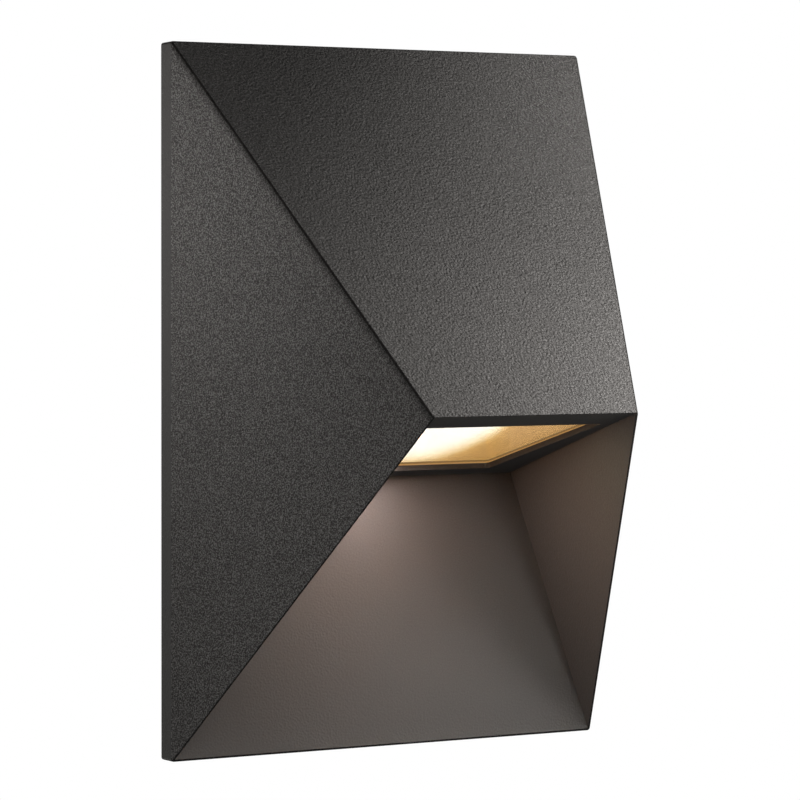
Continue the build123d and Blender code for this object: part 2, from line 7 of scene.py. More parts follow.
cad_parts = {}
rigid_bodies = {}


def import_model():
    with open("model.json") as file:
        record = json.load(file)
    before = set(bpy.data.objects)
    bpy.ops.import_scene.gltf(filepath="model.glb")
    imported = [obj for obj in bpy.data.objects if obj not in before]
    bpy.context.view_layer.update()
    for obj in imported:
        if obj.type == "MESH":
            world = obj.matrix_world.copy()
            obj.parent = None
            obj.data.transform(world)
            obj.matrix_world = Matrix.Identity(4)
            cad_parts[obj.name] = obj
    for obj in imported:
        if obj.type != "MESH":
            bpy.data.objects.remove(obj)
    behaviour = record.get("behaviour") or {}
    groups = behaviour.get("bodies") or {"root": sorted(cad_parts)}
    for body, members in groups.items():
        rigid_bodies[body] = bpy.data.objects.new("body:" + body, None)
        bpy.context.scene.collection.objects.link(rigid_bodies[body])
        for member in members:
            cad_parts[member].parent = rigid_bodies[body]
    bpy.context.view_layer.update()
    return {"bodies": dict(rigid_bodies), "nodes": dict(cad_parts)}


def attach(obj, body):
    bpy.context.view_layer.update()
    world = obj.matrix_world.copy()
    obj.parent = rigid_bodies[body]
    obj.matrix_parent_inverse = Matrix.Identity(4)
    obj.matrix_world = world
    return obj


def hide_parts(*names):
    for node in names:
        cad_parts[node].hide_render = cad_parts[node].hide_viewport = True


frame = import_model()
scene = bpy.context.scene
scene.view_settings.view_transform = "Standard"


# Wall plate: 1.5 mm steel sheet pressed to a shallow tray with a stepped edge band, hot dip zinc
# coated. It is screwed to the wall through its slots, and the housing slips over its flange.
def linear(code):
    """Linear colour of an sRGB hex code, with alpha 1."""
    parts = [int(code[i : i + 2], 16) / 255 for i in (1, 3, 5)]
    return (*[p / 12.92 if p <= 0.04045 else ((p + 0.055) / 1.055) ** 2.4 for p in parts], 1.0)


def node(tree, kind, values=None, links=None, **settings):
    """A new node in a tree, with its settings, input values and incoming links."""
    made = tree.nodes.new(kind)
    for name, value in settings.items():
        setattr(made, name, value)
    for name, value in (values or {}).items():
        made.inputs[name].default_value = value
    for name, source in (links or {}).items():
        tree.links.new(source, made.inputs[name])
    return made


def surface(name, **constants):
    """A new material, its tree, its shader with constant inputs, and the place on the object."""
    material = bpy.data.materials.new(name)
    material.use_nodes = True
    tree = material.node_tree
    shader = tree.nodes["Principled BSDF"]
    for key, value in constants.items():
        shader.inputs[key.replace("_", " ").title().replace("Ior", "IOR")].default_value = value
    place = node(tree, "ShaderNodeTexCoord").outputs["Object"]
    return material, tree, shader, place


def feed(shader, **sources):
    """Link sources to the shader's inputs."""
    for key, source in sources.items():
        shader.id_data.links.new(source, shader.inputs[key.replace("_", " ").title()])


def dress(material, *names):
    """Give CAD nodes their finish."""
    for name in names:
        solid = frame["nodes"][name]
        if not solid.material_slots:
            solid.data.materials.append(material)
        for slot in solid.material_slots:
            slot.material = material


# Zinc spangle: flat crystals about 7 mm across, each a little lighter or duller than the next,
# under a fine haze from the rolls.
spangle = 0.007
haze = 0.0012
zinc, tree, shader, place = surface("zinc_coated_steel", metallic=1.0)
crystals = node(tree, "ShaderNodeTexVoronoi", {"Scale": 1 / spangle}, {"Vector": place})
shade = node(tree, "ShaderNodeSeparateColor", links={"Color": crystals.outputs["Color"]})
tone = node(
    tree,
    "ShaderNodeMix",
    {6: linear("#8f9496"), 7: linear("#b9bcbb")},
    {0: shade.outputs["Red"]},
    data_type="RGBA",
)
rolled = node(tree, "ShaderNodeTexNoise", {"Scale": 1 / haze, "Detail": 3.0}, {"Vector": place})
dull = node(
    tree,
    "ShaderNodeMapRange",
    {"From Min": 0.3, "From Max": 0.7, "To Min": 0.32, "To Max": 0.52},
    {"Value": rolled.outputs["Fac"]},
)
skin = node(
    tree,
    "ShaderNodeBump",
    {"Strength": 0.15, "Distance": 0.00002},
    {"Height": rolled.outputs["Fac"]},
)
feed(shader, base_color=tone.outputs[2], roughness=dull.outputs[0], normal=skin.outputs[0])
dress(zinc, "wall_plate")

# Wall gasket: a frame die cut from 1.5 mm closed cell rubber foam, stuck in the step of the plate's
# edge band. It seals the light against the wall, so its cut cells show as a fine pitted skin.
cell = 0.0008
foam, tree, shader, place = surface(
    "closed_cell_rubber_foam", roughness=0.95, specular_ior_level=0.2
)
cells = node(tree, "ShaderNodeTexVoronoi", {"Scale": 1 / cell}, {"Vector": place})
# Painted shade: the low borders between the cells are drawn darker, as shade in those hollows
pit_shaded = node(
    tree,
    "ShaderNodeMix",
    {6: linear("#303133"), 7: linear("#1d1d1f")},
    {0: cells.outputs["Distance"]},
    data_type="RGBA",
)
pits = node(
    tree,
    "ShaderNodeBump",
    {"Strength": 0.6, "Distance": 0.0003},
    {"Height": cells.outputs["Distance"]},
    invert=True,
)
feed(shader, base_color=pit_shaded.outputs[2], normal=pits.outputs[0])
dress(foam, "wall_gasket")

# Cable grommet: moulded black rubber with a thin tapered neck that grips the mains cable. It snaps
# into the dish of the plate, and a pale bloom of wax dulls it in patches.
bloom_size = 0.004


def mottle(shader, place, size, tones, gloss=None, detail=2.0):
    """Vary a shader's colour, and its roughness if a range is given, over a noise of this size.

    Returns the noise and the colour.
    """
    tree = shader.id_data
    noise = node(
        tree, "ShaderNodeTexNoise", {"Scale": 1 / size, "Detail": detail}, {"Vector": place}
    ).outputs["Fac"]
    low, high = tones
    tone = node(
        tree,
        "ShaderNodeMix",
        {6: linear(low), 7: linear(high)},
        {0: noise},
        data_type="RGBA",
    ).outputs[2]
    feed(shader, base_color=tone)
    if gloss:
        smoothest, dullest = gloss
        finish = node(
            tree,
            "ShaderNodeMapRange",
            {"From Min": 0.3, "From Max": 0.7, "To Min": smoothest, "To Max": dullest},
            {"Value": noise},
        )
        feed(shader, roughness=finish.outputs[0])
    return noise, tone


rubber, _, shader, place = surface("moulded_black_rubber", specular_ior_level=0.35)
mottle(shader, place, bloom_size, ("#19191a", "#343436"), (0.45, 0.7), detail=4.0)
dress(rubber, "cable_grommet")

# Earth terminal of the wall plate: a brass pan head screw with a cross recess on a stainless
# washer, run into a drawn collar of the sheet. One node tree makes every pan head screw here.
turned = 0.0006
sides = 32
rim_steps = 9
shank_sides = 24
rim_fullness = 0.4
crown_fullness = 0.75
blade_length = 1.2
blade_width = 0.28
crease_angle = radians(35)
brass, _, shader, place = surface("turned_brass", metallic=1.0)
mottle(shader, place, turned, ("#b08a45", "#d9b772"), (0.22, 0.38), detail=3.0)

stainless, _, shader, place = surface("stainless_steel", metallic=1.0)
mottle(shader, place, turned, ("#a8abac", "#cbcccb"), (0.2, 0.36), detail=3.0)
dress(stainless, "plate_earth_washer")


def node_tree(name, result, sockets):
    """A geometry node tree with named inputs, their identifiers and the inputs inside the tree."""
    tree = bpy.data.node_groups.new(name, "GeometryNodeTree")
    identifiers = {
        label: tree.interface.new_socket(
            name=label, in_out="INPUT", socket_type="NodeSocket" + kind
        ).identifier
        for label, kind in sockets
    }
    tree.interface.new_socket(name=result, in_out="OUTPUT", socket_type="NodeSocketGeometry")
    return tree, identifiers, node(tree, "NodeGroupInput").outputs


screw, screw_inputs, given = node_tree(
    "pan_head_screw",
    "Screws",
    (
        ("Seats", "Geometry"),
        ("Tilt", "Vector"),
        ("Head Radius", "Float"),
        ("Head Height", "Float"),
        ("Shank Radius", "Float"),
        ("Shank Length", "Float"),
        ("Finish", "Material"),
    ),
)
# The head is a grid rolled up round its axis: up the rim on one side, round the head on the other
rim = node(
    screw,
    "GeometryNodeMeshGrid",
    {"Size X": 1.0, "Size Y": 1.0, "Vertices X": rim_steps, "Vertices Y": sides + 1},
)
flat = node(
    screw, "ShaderNodeSeparateXYZ", links={0: node(screw, "GeometryNodeInputPosition").outputs[0]}
).outputs
climb = node(
    screw, "ShaderNodeMath", {1: pi / 2, 2: pi / 4}, {0: flat[0]}, operation="MULTIPLY_ADD"
).outputs[0]
round_it = node(screw, "ShaderNodeMath", {1: 2 * pi}, {0: flat[1]}, operation="MULTIPLY").outputs[0]
drawn_in = node(screw, "ShaderNodeMath", links={0: climb}, operation="COSINE").outputs[0]
domed = node(screw, "ShaderNodeMath", links={0: climb}, operation="SINE").outputs[0]
fullness = node(
    screw, "ShaderNodeMath", {1: rim_fullness}, {0: drawn_in}, operation="POWER"
).outputs[0]
crown = node(screw, "ShaderNodeMath", {1: crown_fullness}, {0: domed}, operation="POWER").outputs[0]
out = node(
    screw, "ShaderNodeMath", links={0: fullness, 1: given["Head Radius"]}, operation="MULTIPLY"
).outputs[0]
up = node(
    screw, "ShaderNodeMath", links={0: crown, 1: given["Head Height"]}, operation="MULTIPLY"
).outputs[0]
across = node(screw, "ShaderNodeMath", links={0: round_it}, operation="COSINE").outputs[0]
along = node(screw, "ShaderNodeMath", links={0: round_it}, operation="SINE").outputs[0]
out_x, out_y = (
    node(screw, "ShaderNodeMath", links={0: out, 1: part}, operation="MULTIPLY").outputs[0]
    for part in (across, along)
)
rolled_up = node(screw, "ShaderNodeCombineXYZ", links={0: out_x, 1: out_y, 2: up})
dome = node(
    screw,
    "GeometryNodeSetPosition",
    links={"Geometry": rim.outputs["Mesh"], "Position": rolled_up.outputs[0]},
)
underside = node(
    screw,
    "GeometryNodeMeshCircle",
    {"Vertices": sides},
    {"Radius": given["Head Radius"]},
    fill_type="NGON",
)
head = node(screw, "GeometryNodeJoinGeometry")
for part in (
    node(screw, "GeometryNodeFlipFaces", links={"Mesh": underside.outputs["Mesh"]}),
    dome,
):
    screw.links.new(part.outputs[0], head.inputs[0])
closed_head = node(
    screw, "GeometryNodeMergeByDistance", {"Distance": 1e-6}, {"Geometry": head.outputs[0]}
)
# The cross recess is cut by two blades half as deep as the head
blades = node(screw, "GeometryNodeJoinGeometry")
for blade_sizes in ((blade_length, blade_width), (blade_width, blade_length)):
    side_x, side_y = (
        node(
            screw, "ShaderNodeMath", {1: size}, {0: given["Head Radius"]}, operation="MULTIPLY"
        ).outputs[0]
        for size in blade_sizes
    )
    blade = node(
        screw,
        "GeometryNodeMeshCube",
        links={
            "Size": node(
                screw,
                "ShaderNodeCombineXYZ",
                links={0: side_x, 1: side_y, 2: given["Head Height"]},
            ).outputs[0]
        },
    )
    screw.links.new(blade.outputs["Mesh"], blades.inputs[0])
raised = node(
    screw,
    "GeometryNodeTransform",
    links={
        "Geometry": blades.outputs[0],
        "Translation": node(
            screw, "ShaderNodeCombineXYZ", links={2: given["Head Height"]}
        ).outputs[0],
    },
)
recessed = node(
    screw,
    "GeometryNodeMeshBoolean",
    {"Self Intersection": True},
    {"Mesh 1": closed_head.outputs[0], "Mesh 2": raised.outputs[0]},
    operation="DIFFERENCE",
    solver="EXACT",
)
shank = node(
    screw,
    "GeometryNodeMeshCylinder",
    {"Vertices": shank_sides},
    {"Radius": given["Shank Radius"], "Depth": given["Shank Length"]},
)
sunk = node(
    screw,
    "GeometryNodeTransform",
    links={
        "Geometry": shank.outputs["Mesh"],
        "Translation": node(
            screw,
            "ShaderNodeCombineXYZ",
            links={
                2: node(
                    screw,
                    "ShaderNodeMath",
                    {1: -0.5},
                    {0: given["Shank Length"]},
                    operation="MULTIPLY",
                ).outputs[0]
            },
        ).outputs[0],
    },
)
whole = node(screw, "GeometryNodeJoinGeometry")
for part in (recessed.outputs[0], sunk.outputs[0]):
    screw.links.new(part, whole.inputs[0])
smooth = node(screw, "GeometryNodeSetShadeSmooth", links={"Geometry": whole.outputs[0]})
crease = node(
    screw,
    "FunctionNodeCompare",
    {1: crease_angle},
    {0: node(screw, "GeometryNodeInputMeshEdgeAngle").outputs[0]},
    operation="GREATER_THAN",
)
creased = node(
    screw,
    "GeometryNodeSetShadeSmooth",
    {"Shade Smooth": False},
    {"Geometry": smooth.outputs[0], "Selection": crease.outputs[0]},
    domain="EDGE",
)
driven = node(
    screw,
    "GeometryNodeInstanceOnPoints",
    links={
        "Points": given["Seats"],
        "Instance": creased.outputs[0],
        "Rotation": node(screw, "FunctionNodeEulerToRotation", links={0: given["Tilt"]}).outputs[0],
    },
)
stopped_at = node(
    screw, "FunctionNodeRandomValue", {"Max": pi / 2, "Seed": 4}, data_type="FLOAT"
).outputs["Value"]
turned_home = node(
    screw,
    "GeometryNodeRotateInstances",
    links={
        "Instances": driven.outputs[0],
        "Rotation": node(screw, "ShaderNodeCombineXYZ", links={2: stopped_at}).outputs[0],
    },
)
real = node(screw, "GeometryNodeRealizeInstances", links={"Geometry": turned_home.outputs[0]})
plated = node(
    screw,
    "GeometryNodeSetMaterial",
    links={"Geometry": real.outputs[0], "Material": given["Finish"]},
)
node(screw, "NodeGroupOutput", links={0: plated.outputs[0]})


def grow(name, mesh, tree, identifiers, values):
    """A piece that a node tree makes from these values, as a plain mesh without the modifier."""
    maker = bpy.data.objects.new(name, mesh)
    scene.collection.objects.link(maker)
    modifier = maker.modifiers.new(name, "NODES")
    modifier.node_group = tree
    for label, value in values.items():
        modifier[identifiers[label]] = value
    bpy.context.view_layer.update()
    grown = maker.evaluated_get(bpy.context.evaluated_depsgraph_get())
    maker.data = bpy.data.meshes.new_from_object(grown)
    maker.modifiers.clear()
    return maker


def pan_screws(name, seat, places, sizes, finish, body, solid):
    """Screws whose heads stand on places of the seat plane; sizes are head and shank, in metres."""
    points = bpy.data.meshes.new(name)
    points.from_pydata([seat @ Vector((*place, 0)) for place in places], [], [])
    values = dict(zip(("Head Radius", "Head Height", "Shank Radius", "Shank Length"), sizes))
    values.update({"Tilt": list(seat.to_euler()), "Finish": finish})
    maker = grow(name, points, screw, screw_inputs, values)
    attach(maker, body)
    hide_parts(solid)


large_screw = (0.0036, 0.0026, 0.002)
collar_top = Matrix.Translation((0, -0.0043, 0)) @ Matrix.Rotation(radians(90), 4, "X")
pan_screws(
    "plate_earth_pan_screw",
    collar_top,
    [(0.045, 0.045)],
    (*large_screw, 0.004),
    brass,
    "mounting",
    "plate_earth_screw",
)

# Housing: die cast aluminium with a fine textured powder coat in graphite grey, baked on. It is
# pebbled on the open faces and smoother in the sheltered recess, where less powder lands. Its grit
# of about 0.2 mm is too fine to show and is drawn twice as coarse, as tone over 0.7 mm pebbles.
grit_size = 0.0004
pebble = 0.0007
pebble_depth = 0.00058
drift = 0.03
drift_share = 0.2
grit_range = 0.26
glint_power = 1.6
side_shade_contrast = 2.2
sheltered_share = 0.15
splayed_turn = -0.3
wall_turn = -0.97
ceiling_turn = -0.9
return_turn = 0.985
side_turn = 0.5
lower_edge = -0.1
flat_turn = 0.996
edge_turn = 0.97
recess_turn = -0.05
hip_shade_width = 0.0026
hip_shade_share = 0.85
return_shade_share = 0.38
top_offset = 0.07524
flat_faces = (
    (0.0, -0.7776, 0.6288),
    (0.9202, -0.3913, 0.0108),
    (0.9454, 0.0433, -0.3229),
    (0.0, -0.2216, -0.9751),
    (1.0, 0.0, 0.0),
    (0.9797, -0.1997, 0.0055),
    (0.0, -0.94, 0.3412),
    (0.0, -1.0, 0.0),
    (0.0, 0.0, 1.0),
    (0.0, 0.0, -1.0),
)
coat, tree, shader, place = surface("textured_powder_coat", specular_ior_level=0.027, roughness=0.6)
normal = node(tree, "ShaderNodeNewGeometry").outputs["True Normal"]
faces = node(tree, "ShaderNodeSeparateXYZ", links={0: normal})
spot = node(tree, "ShaderNodeSeparateXYZ", links={0: place})
side = node(tree, "ShaderNodeMath", links={0: spot.outputs[0]}, operation="SIGN")
inward = node(
    tree, "ShaderNodeMath", links={0: side.outputs[0], 1: faces.outputs[0]}, operation="MULTIPLY"
)
splayed = node(
    tree, "ShaderNodeMath", {1: splayed_turn}, {0: inward.outputs[0]}, operation="LESS_THAN"
)
facing = node(tree, "ShaderNodeMath", {1: wall_turn}, {0: faces.outputs[1]}, operation="LESS_THAN")
hanging = node(
    tree, "ShaderNodeMath", {1: ceiling_turn}, {0: faces.outputs[2]}, operation="LESS_THAN"
)
above = node(
    tree, "ShaderNodeMath", {1: lower_edge}, {0: spot.outputs[2]}, operation="GREATER_THAN"
)
overhead = node(
    tree, "ShaderNodeMath", links={0: hanging.outputs[0], 1: above.outputs[0]}, operation="MULTIPLY"
)
walls = node(
    tree, "ShaderNodeMath", links={0: splayed.outputs[0], 1: facing.outputs[0]}, operation="MAXIMUM"
)
upright = node(tree, "ShaderNodeMath", links={0: faces.outputs[0]}, operation="ABSOLUTE")
edge_return = node(
    tree, "ShaderNodeMath", {1: return_turn}, {0: upright.outputs[0]}, operation="GREATER_THAN"
)
rooms = node(
    tree, "ShaderNodeMath", links={0: walls.outputs[0], 1: overhead.outputs[0]}, operation="MAXIMUM"
)
sheltered = node(
    tree,
    "ShaderNodeMath",
    links={0: rooms.outputs[0], 1: edge_return.outputs[0]},
    operation="MAXIMUM",
)
grit = node(
    tree,
    "ShaderNodeTexNoise",
    {"Scale": 1 / grit_size, "Detail": 1.0, "Roughness": 0.5},
    {"Vector": place},
)
sideways = node(
    tree, "ShaderNodeMath", {1: side_turn}, {0: inward.outputs[0]}, operation="GREATER_THAN"
)
# Painted shade: the grit tone swings harder on the side faces, for pebbles under grazing light
side_speck_shade = node(
    tree, "ShaderNodeMapRange", {"To Min": 1.0, "To Max": side_shade_contrast}, {"Value": sideways.outputs[0]}
)
exposed = node(
    tree,
    "ShaderNodeMapRange",
    {"To Min": 1.0, "To Max": sheltered_share},
    {"Value": sheltered.outputs[0]},
)
share = node(
    tree,
    "ShaderNodeMath",
    links={0: exposed.outputs[0], 1: side_speck_shade.outputs[0]},
    operation="MULTIPLY",
)
swing = node(tree, "ShaderNodeMath", {1: 0.5}, {0: grit.outputs["Fac"]}, operation="SUBTRACT")
gritty = node(
    tree, "ShaderNodeMath", links={0: swing.outputs[0], 1: share.outputs[0]}, operation="MULTIPLY"
)
speck = node(
    tree,
    "ShaderNodeMapRange",
    {"From Min": -grit_range, "From Max": grit_range},
    {"Value": gritty.outputs[0]},
)
glint = node(tree, "ShaderNodeMath", {1: glint_power}, {0: speck.outputs[0]}, operation="POWER")
cloud = node(tree, "ShaderNodeTexNoise", {"Scale": 1 / drift, "Detail": 2.0}, {"Vector": place})
faint = node(
    tree, "ShaderNodeMath", {1: drift_share}, {0: cloud.outputs["Fac"]}, operation="MULTIPLY"
)
grey = node(
    tree,
    "ShaderNodeMix",
    {6: linear("#2b2a29"), 7: linear("#5f5e5d")},
    {0: glint.outputs[0]},
    data_type="RGBA",
)
baked = node(
    tree,
    "ShaderNodeMix",
    {7: linear("#434140")},
    {0: faint.outputs[0], 6: grey.outputs[2]},
    data_type="RGBA",
)
# Painted shade: where the surface turns from one flat face to the next the coat is drawn dark
mirrored = node(
    tree,
    "ShaderNodeCombineXYZ",
    links={0: upright.outputs[0], 1: faces.outputs[1], 2: faces.outputs[2]},
).outputs[0]
flat = None
for direction in flat_faces:
    along = node(
        tree, "ShaderNodeVectorMath", {1: direction}, {0: mirrored}, operation="DOT_PRODUCT"
    ).outputs["Value"]
    flat = along if flat is None else node(
        tree, "ShaderNodeMath", links={0: flat, 1: along}, operation="MAXIMUM"
    ).outputs[0]
turn_shade_ramp = node(
    tree, "ShaderNodeMapRange", {"From Min": flat_turn, "From Max": edge_turn}, {"Value": flat}
)
open_turn = node(
    tree, "ShaderNodeMath", {1: recess_turn}, {0: inward.outputs[0]}, operation="GREATER_THAN"
)
turn_shade = node(
    tree,
    "ShaderNodeMath",
    links={0: turn_shade_ramp.outputs[0], 1: open_turn.outputs[0]},
    operation="MULTIPLY",
)
# Painted shade on the side faces too, in a dark band along the hips
top_height = node(
    tree, "ShaderNodeVectorMath", {1: flat_faces[0]}, {0: place}, operation="DOT_PRODUCT"
)
hip_shade_ramp = node(
    tree,
    "ShaderNodeMapRange",
    {"From Min": top_offset - hip_shade_width, "From Max": top_offset, "To Max": hip_shade_share},
    {"Value": top_height.outputs["Value"]},
)
hip_shade = node(
    tree,
    "ShaderNodeMath",
    links={0: hip_shade_ramp.outputs[0], 1: sideways.outputs[0]},
    operation="MULTIPLY",
)
# Painted shade: the edge returns are drawn darker as well
return_shade = node(
    tree, "ShaderNodeMath", {1: return_shade_share}, {0: edge_return.outputs[0]}, operation="MULTIPLY"
)
hip_and_return_shade = node(
    tree,
    "ShaderNodeMath",
    links={0: return_shade.outputs[0], 1: hip_shade.outputs[0]},
    operation="MAXIMUM",
)
edge_shade = node(
    tree,
    "ShaderNodeMath",
    links={0: turn_shade.outputs[0], 1: hip_and_return_shade.outputs[0]},
    operation="MAXIMUM",
)
# The painted shade darkens the coat towards near black on edges, hips and edge returns
edge_shaded_coat = node(
    tree,
    "ShaderNodeMix",
    {7: linear("#151413")},
    {0: edge_shade.outputs[0], 6: baked.outputs[2]},
    data_type="RGBA",
)
relief = node(tree, "ShaderNodeTexNoise", {"Scale": 1 / pebble, "Detail": 0.0}, {"Vector": place})
pebbled = node(
    tree,
    "ShaderNodeMath",
    links={0: relief.outputs["Fac"], 1: exposed.outputs[0]},
    operation="MULTIPLY",
)
pebbles = node(
    tree,
    "ShaderNodeBump",
    {"Strength": 1.0, "Distance": pebble_depth},
    {"Height": pebbled.outputs[0]},
)
feed(shader, base_color=edge_shaded_coat.outputs[2], normal=pebbles.outputs[0])
dress(coat, "housing")

# Set screws: two stainless M3 grub screws with hex sockets in the lower edge of the housing. They
# are run in until they press on the flange of the wall plate.
dress(stainless, "fixing_screws")

# Pane seal: a channel of charcoal silicone, moulded as one ring and stretched over the edge of the
# pane. Fine lint dulls it, and a warm emission paints on it the light that runs out of the glass
# edge.
lint = 0.0015
silicone, _, shader, place = surface(
    "moulded_silicone",
    roughness=0.5,
    specular_ior_level=0.3,
    emission_color=linear("#b5894f"),
    emission_strength=0.8,
)
mottle(shader, place, lint, ("#3a3734", "#4d4945"))
dress(silicone, "pane_seal")
frame["nodes"]["pane_seal"].visible_diffuse = False

# Glass pane: 4 mm toughened clear float glass laid on the lip of the recess ceiling from inside.
# The finish has only a trace of wipe marks, which break the gloss a little.
wipe = 0.02
glass, tree, shader, place = surface(
    "clear_float_glass", base_color=linear("#fbfdfb"), ior=1.52, transmission_weight=1.0
)
marks = node(tree, "ShaderNodeTexNoise", {"Scale": 1 / wipe, "Detail": 3.0}, {"Vector": place})
clarity = node(
    tree,
    "ShaderNodeMapRange",
    {"From Min": 0.35, "From Max": 0.75, "To Min": 0.0, "To Max": 0.03},
    {"Value": marks.outputs["Fac"]},
)
feed(shader, roughness=clarity.outputs[0])
dress(glass, "glass_pane")

# Reflector: a four sided chamber moulded in white reflective plastic above the pane, clamped by its
# ears. Its inner walls carry painted light, an emission white near the LEDs and warm gold below an
# arched edge.
ceiling_tilt = radians(12.804)
ceiling = Matrix.Translation((0, -0.049948, -0.015375)) @ Matrix.Rotation(-ceiling_tilt, 4, "X")
level = ceiling.to_3x3().col[2]
rearward = ceiling.to_3x3().col[1]
arch_rise = 0.007
arch_drop = 0.006
arch_span = 0.031
arch_back = 0.035
gold_below = 0.006
white_above = 0.004
chamber_floor = 0.0075
light_pool_stops = (
    (0.0, "#a5762a"),
    (0.3, "#b08034"),
    (0.42, "#c3954b"),
    (0.55, "#ecd09e"),
    (0.65, "#ffebcb"),
    (0.85, "#fdf9f2"),
)
white, tree, shader, place = surface(
    "white_reflector_plastic", base_color=linear("#e9e7e1"), roughness=0.4, emission_strength=2.5
)
height = node(tree, "ShaderNodeVectorMath", {1: level}, {0: place}, operation="DOT_PRODUCT")
depth = node(tree, "ShaderNodeVectorMath", {1: rearward}, {0: place}, operation="DOT_PRODUCT")
lateral = node(tree, "ShaderNodeSeparateXYZ", links={0: place})
centre_height = ceiling.translation.dot(level)
centre_depth = ceiling.translation.dot(rearward)
from_back = node(
    tree,
    "ShaderNodeMath",
    {1: centre_depth + arch_back},
    {0: depth.outputs["Value"]},
    operation="SUBTRACT",
)
reach = node(
    tree,
    "ShaderNodeVectorMath",
    links={
        0: node(
            tree, "ShaderNodeCombineXYZ", links={0: lateral.outputs[0], 1: from_back.outputs[0]}
        ).outputs[0]
    },
    operation="LENGTH",
)
square = node(tree, "ShaderNodeMath", {1: 2.0}, {0: reach.outputs["Value"]}, operation="POWER")
arch = node(
    tree,
    "ShaderNodeMath",
    {1: arch_drop / arch_span**2, 2: centre_height + arch_rise},
    {0: square.outputs[0]},
    operation="MULTIPLY_ADD",
)
over_arch = node(
    tree,
    "ShaderNodeMath",
    links={0: height.outputs["Value"], 1: arch.outputs[0]},
    operation="SUBTRACT",
)
light_pool_band = node(
    tree,
    "ShaderNodeMapRange",
    {"From Min": -gold_below, "From Max": white_above},
    {"Value": over_arch.outputs[0]},
)
# The painted pool of light runs from gold below the arched edge to white above it
light_pool_ramp = node(tree, "ShaderNodeValToRGB", links={0: light_pool_band.outputs[0]})
light_pool_ramp.color_ramp.elements.remove(light_pool_ramp.color_ramp.elements[1])
for i, (position, code) in enumerate(light_pool_stops):
    stop = light_pool_ramp.color_ramp.elements[0] if i == 0 else light_pool_ramp.color_ramp.elements.new(position)
    stop.position = position
    stop.color = linear(code)
towards = node(
    tree,
    "ShaderNodeVectorMath",
    {1: ceiling @ Vector((0, 0, chamber_floor))},
    {0: place},
    operation="SUBTRACT",
)
turned_in = node(
    tree,
    "ShaderNodeVectorMath",
    links={0: towards.outputs[0], 1: node(tree, "ShaderNodeNewGeometry").outputs["True Normal"]},
    operation="DOT_PRODUCT",
)
inner = node(
    tree, "ShaderNodeMath", {1: 0.0}, {0: turned_in.outputs["Value"]}, operation="LESS_THAN"
)
painted_glow = node(
    tree,
    "ShaderNodeMix",
    {6: (0.0, 0.0, 0.0, 1.0)},
    {0: inner.outputs[0], 7: light_pool_ramp.outputs[0]},
    data_type="RGBA",
)
feed(shader, emission_color=painted_glow.outputs[2])
dress(white, "reflector")
frame["nodes"]["reflector"].visible_diffuse = False

# LED board: 1.6 mm aluminium core board with white solder mask, laid on the reflector's rim. Its
# wide copper tracks lie under the mask and show as faint bands along the three rows of LEDs.
row_pitch = 0.017
track_width = 0.006
board, tree, shader, place = surface("white_solder_mask", roughness=0.35, emission_strength=0.7)
on_board = node(tree, "ShaderNodeVectorMath", {1: rearward}, {0: place}, operation="DOT_PRODUCT")
from_centre = node(
    tree, "ShaderNodeMath", {1: centre_depth}, {0: on_board.outputs["Value"]}, operation="SUBTRACT"
)
from_row = node(
    tree, "ShaderNodeMath", {1: row_pitch / 2}, {0: from_centre.outputs[0]}, operation="PINGPONG"
)
track = node(
    tree, "ShaderNodeMath", {1: track_width / 2}, {0: from_row.outputs[0]}, operation="LESS_THAN"
)
masked = node(
    tree,
    "ShaderNodeMix",
    {6: linear("#f0f0ec"), 7: linear("#dfe0dc")},
    {0: track.outputs[0]},
    data_type="RGBA",
)
# Painted light: the underside, where the LEDs sit, glows warm with an emission for their light
upward = node(
    tree,
    "ShaderNodeVectorMath",
    {1: level},
    {0: node(tree, "ShaderNodeNewGeometry").outputs["True Normal"]},
    operation="DOT_PRODUCT",
)
led_side = node(tree, "ShaderNodeMath", {1: -0.5}, {0: upward.outputs["Value"]}, operation="LESS_THAN")
board_glow_tone = node(
    tree,
    "ShaderNodeMix",
    {6: linear("#fff3de"), 7: linear("#f3e3c6")},
    {0: track.outputs[0]},
    data_type="RGBA",
)
painted_glow = node(
    tree,
    "ShaderNodeMix",
    {6: (0.0, 0.0, 0.0, 1.0)},
    {0: led_side.outputs[0], 7: board_glow_tone.outputs[2]},
    data_type="RGBA",
)
feed(shader, base_color=masked.outputs[2], emission_color=painted_glow.outputs[2])
dress(board, "led_board")
frame["nodes"]["led_board"].visible_diffuse = False

# LEDs: nine packages of 3.5 by 2.8 mm soldered under the board in a square grid. Each is a white
# moulded frame with a round cup of yellow phosphor, and tinned feet at both ends.
fleck = 0.0004
grain = 0.0003
flow = 0.0012
cup_sides = 32
cup_flare = 1.15
bore_drop = -1.2
fill_drop = -0.4
board_face = 0.0198
# The white frames glow a little: painted light, an emission for the LEDs' own light on them
frame_plastic, _, shader, place = surface("white_led_frame", roughness=0.5, emission_strength=0.6)
_, tone = mottle(shader, place, fleck, ("#e4e2dc", "#f3f2ee"))
feed(shader, emission_color=tone)

phosphor, _, shader, place = surface("yellow_phosphor", roughness=0.45, emission_strength=3.0)
_, tone = mottle(shader, place, grain, ("#ffd987", "#fff1c4"))
feed(shader, emission_color=tone)

solder, _, shader, place = surface("tin_solder", metallic=1.0)
mottle(shader, place, flow, ("#b9bab8", "#d6d5d0"), (0.12, 0.4))
dress(solder, "solder_joints")

